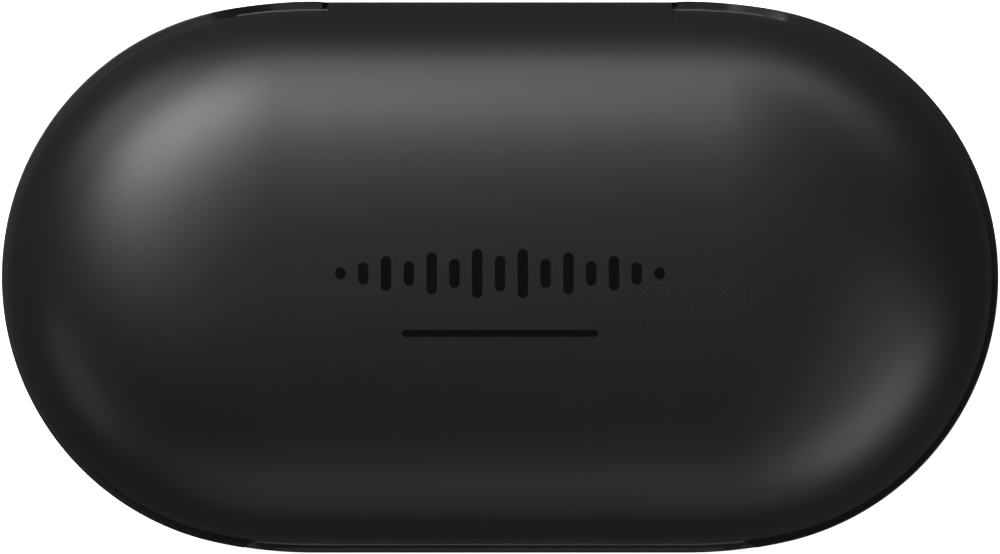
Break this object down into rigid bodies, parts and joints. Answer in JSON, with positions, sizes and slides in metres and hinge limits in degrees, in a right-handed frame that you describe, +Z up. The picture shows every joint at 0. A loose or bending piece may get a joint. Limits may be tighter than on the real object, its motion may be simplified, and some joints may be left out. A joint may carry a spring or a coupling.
{
  "type": "wireless earbuds case",
  "caption": "Pebble-shaped charging case for wireless earbuds, with a hinged lid, two cradles with sprung contacts, and the battery and board inside.",
  "frame": {"origin": "centre of the flat underside, on the surface the case stands on", "axes": "+X along the case's length to its right end, +Y to the hinge at the back, +Z up through the lid"},
  "size_m": [0.07, 0.0388, 0.0265],
  "materials": {
    "shell_plastic": "fine satin grain",
    "deck_plastic": "smooth satin",
    "adhesive": "cured glue",
    "steel": "bright stamped",
    "magnet": "nickel plated",
    "battery_foil": "laminated pouch",
    "foam_tape": "foam",
    "lead_sleeve": "wire sleeve",
    "plug_plastic": "nylon",
    "circuit_board": "solder mask",
    "chip_resin": "moulded resin",
    "ferrite": "sintered",
    "ceramic": "ceramic chip",
    "connector_plastic": "liquid crystal polymer",
    "gold": "gold plated",
    "copper": "enamelled wire",
    "flex_film": "polyimide film",
    "led": "phosphor in resin",
    "light_guide": "clear moulded"
  },
  "bodies": {
    "base": {"base_shell": "shell_plastic", "cradle_deck": "deck_plastic", "deck_adhesive": "adhesive", "deck_screws": "steel", "hinge_pin": "steel", "battery": "battery_foil", "battery_tape": "foam_tape", "battery_leads": "lead_sleeve", "battery_plug": "plug_plastic", "main_board": "circuit_board", "shield_can": "steel", "power_chips": "chip_resin", "controller_chip": "chip_resin", "power_inductor": "ferrite", "board_capacitors": "ceramic", "usb_c_shell": "steel", "usb_c_tongue": "connector_plastic", "usb_c_contacts": "gold", "charging_coil": "copper", "coil_ferrite": "ferrite", "coil_leads": "copper", "pogo_block_left": "connector_plastic", "pogo_block_right": "connector_plastic", "pogo_barrels": "gold", "pogo_spring_left_outer": "steel", "pogo_spring_left_inner": "steel", "pogo_spring_right_inner": "steel", "pogo_spring_right_outer": "steel", "cradle_magnets": "magnet", "base_magnets": "magnet", "sensor_flex": "flex_film", "hall_sensor": "chip_resin", "inner_led": "led", "inner_light_guide": "light_guide", "front_led": "led", "front_light_guide": "light_guide"},
    "lid": {"lid_shell": "shell_plastic", "lid_liner": "deck_plastic", "lid_magnets": "magnet", "hall_magnet": "magnet"},
    "pogo_left_outer": {"pogo_pin_left_outer": "gold"},
    "pogo_left_inner": {"pogo_pin_left_inner": "gold"},
    "pogo_right_inner": {"pogo_pin_right_inner": "gold"},
    "pogo_right_outer": {"pogo_pin_right_outer": "gold"}
  },
  "joints": [
    {"name": "lid_hinge", "type": "hinge", "parent": "base", "child": "lid", "pos_m": [0, 0.01815, 0.0155], "axis": [-1, 0, 0], "range_deg": [0, 90]},
    {"name": "pin_travel_left_outer", "type": "slide", "parent": "base", "child": "pogo_left_outer", "axis": [0, 0, -1], "range_m": [0, 0.0006], "stiffness_N_per_m": 300, "springref_m": -0.0002, "deforming": ["pogo_spring_left_outer"]},
    {"name": "pin_travel_left_inner", "type": "slide", "parent": "base", "child": "pogo_left_inner", "axis": [0, 0, -1], "range_m": [0, 0.0006], "stiffness_N_per_m": 300, "springref_m": -0.0002, "deforming": ["pogo_spring_left_inner"]},
    {"name": "pin_travel_right_inner", "type": "slide", "parent": "base", "child": "pogo_right_inner", "axis": [0, 0, -1], "range_m": [0, 0.0006], "stiffness_N_per_m": 300, "springref_m": -0.0002, "deforming": ["pogo_spring_right_inner"]},
    {"name": "pin_travel_right_outer", "type": "slide", "parent": "base", "child": "pogo_right_outer", "axis": [0, 0, -1], "range_m": [0, 0.0006], "stiffness_N_per_m": 300, "springref_m": -0.0002, "deforming": ["pogo_spring_right_outer"]}
  ]
}
